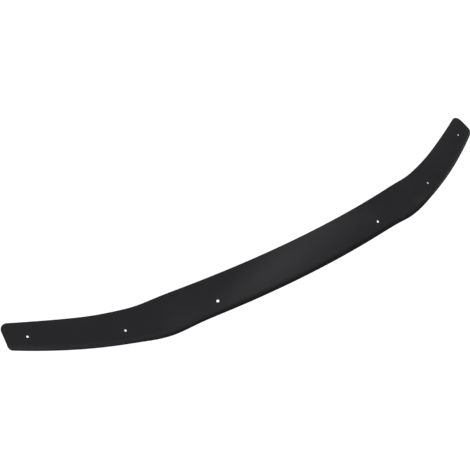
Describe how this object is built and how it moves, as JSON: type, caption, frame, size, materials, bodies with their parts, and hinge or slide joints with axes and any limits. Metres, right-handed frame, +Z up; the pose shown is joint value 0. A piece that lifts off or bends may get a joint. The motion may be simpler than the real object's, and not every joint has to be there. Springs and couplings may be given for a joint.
{
  "type": "hood bug deflector",
  "caption": "Swept one-piece shield strip that screws along the front edge of a vehicle hood and lifts air and insects over the windscreen.",
  "frame": {"origin": "middle of the lower edge, on the outer face, in the plane of symmetry", "axes": "+X along the strip to the vehicle's left, -Y to the vehicle's front, +Z up as fitted"},
  "size_m": [1.5182, 0.1991, 0.1015],
  "materials": {
    "shield_plastic": "black moulded acrylic with a soft satin gloss and polished edges"
  },
  "bodies": {
    "root": {"shield": "shield_plastic"}
  },
  "joints": []
}
